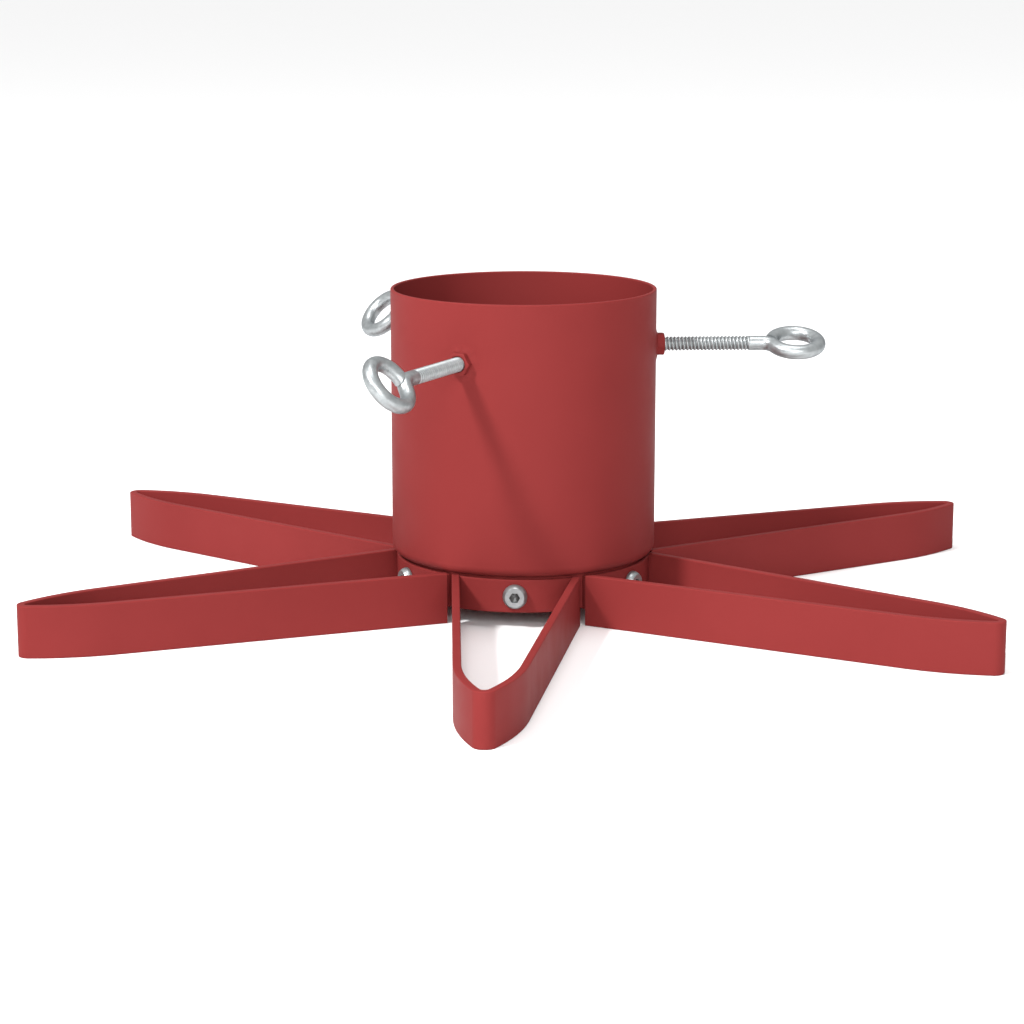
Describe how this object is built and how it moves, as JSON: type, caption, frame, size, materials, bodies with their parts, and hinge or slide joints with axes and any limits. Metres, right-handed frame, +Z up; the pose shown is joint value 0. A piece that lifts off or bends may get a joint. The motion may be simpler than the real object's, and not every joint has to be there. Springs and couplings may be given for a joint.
{
  "type": "christmas tree stand",
  "caption": "Round steel cup on spread flat-bar loop legs, with eye bolts that screw in through the cup wall to clamp a tree trunk upright.",
  "frame": {"origin": "on the floor under the axis of the cup, at the middle of the spread of the legs", "axes": "+Z up along the cup's axis and out of its mouth; -Y along leg 1, the leg nearest the viewer; +X to the viewer's right"},
  "size_m": [0.4008, 0.4612, 0.139],
  "materials": {
    "red_paint": "semi-gloss red paint over welded steel, a little orange peel",
    "zinc": "zinc plated steel, dull grey and lightly worn"
  },
  "bodies": {
    "stand": {"cup_wall": "red_paint", "cup_floor": "red_paint", "base_ring": "red_paint", "leg_loop_1": "red_paint", "leg_loop_2": "red_paint", "leg_loop_3": "red_paint", "leg_loop_4": "red_paint", "leg_loop_5": "red_paint", "leg_loop_6": "red_paint", "leg_plate_1": "red_paint", "leg_plate_2": "red_paint", "leg_plate_3": "red_paint", "leg_plate_4": "red_paint", "leg_plate_5": "red_paint", "leg_plate_6": "red_paint", "leg_screw_1": "zinc", "leg_screw_2": "zinc", "leg_screw_3": "zinc", "leg_screw_4": "zinc", "leg_screw_5": "zinc", "leg_screw_6": "zinc", "leg_nut_1": "zinc", "leg_nut_2": "zinc", "leg_nut_3": "zinc", "leg_nut_4": "zinc", "leg_nut_5": "zinc", "leg_nut_6": "zinc", "weld_nut_1": "red_paint", "weld_nut_2": "red_paint", "weld_nut_3": "red_paint"},
    "point_1": {"bolt_point_1": "zinc"},
    "eye_1": {"eye_bolt_1": "zinc"},
    "point_2": {"bolt_point_2": "zinc"},
    "eye_2": {"eye_bolt_2": "zinc"},
    "point_3": {"bolt_point_3": "zinc"},
    "eye_3": {"eye_bolt_3": "zinc"}
  },
  "joints": [
    {"name": "bolt_1_travel", "type": "slide", "parent": "stand", "child": "point_1", "axis": [-0.9925, -0.1219, 0], "range_m": [0, 0.0352]},
    {"name": "bolt_1_turn", "type": "hinge", "parent": "point_1", "child": "eye_1", "pos_m": [0.09925, 0.01219, 0.1137], "axis": [-0.9925, -0.1219, 0], "range_deg": [0, 7921]},
    {"name": "bolt_2_travel", "type": "slide", "parent": "stand", "child": "point_2", "axis": [0.6018, -0.7986, 0], "range_m": [0, 0.0352]},
    {"name": "bolt_2_turn", "type": "hinge", "parent": "point_2", "child": "eye_2", "pos_m": [-0.06018, 0.07986, 0.1137], "axis": [0.6018, -0.7986, 0], "range_deg": [0, 7921]},
    {"name": "bolt_3_travel", "type": "slide", "parent": "stand", "child": "point_3", "axis": [0.3907, 0.9205, 0], "range_m": [0, 0.0352]},
    {"name": "bolt_3_turn", "type": "hinge", "parent": "point_3", "child": "eye_3", "pos_m": [-0.03907, -0.09205, 0.1137], "axis": [0.3907, 0.9205, 0], "range_deg": [0, 7921]}
  ],
  "couplings": [
    {"joint": "bolt_1_turn", "follows": "bolt_1_travel", "rad_per_m": 3927},
    {"joint": "bolt_2_turn", "follows": "bolt_2_travel", "rad_per_m": 3927},
    {"joint": "bolt_3_turn", "follows": "bolt_3_travel", "rad_per_m": 3927}
  ]
}
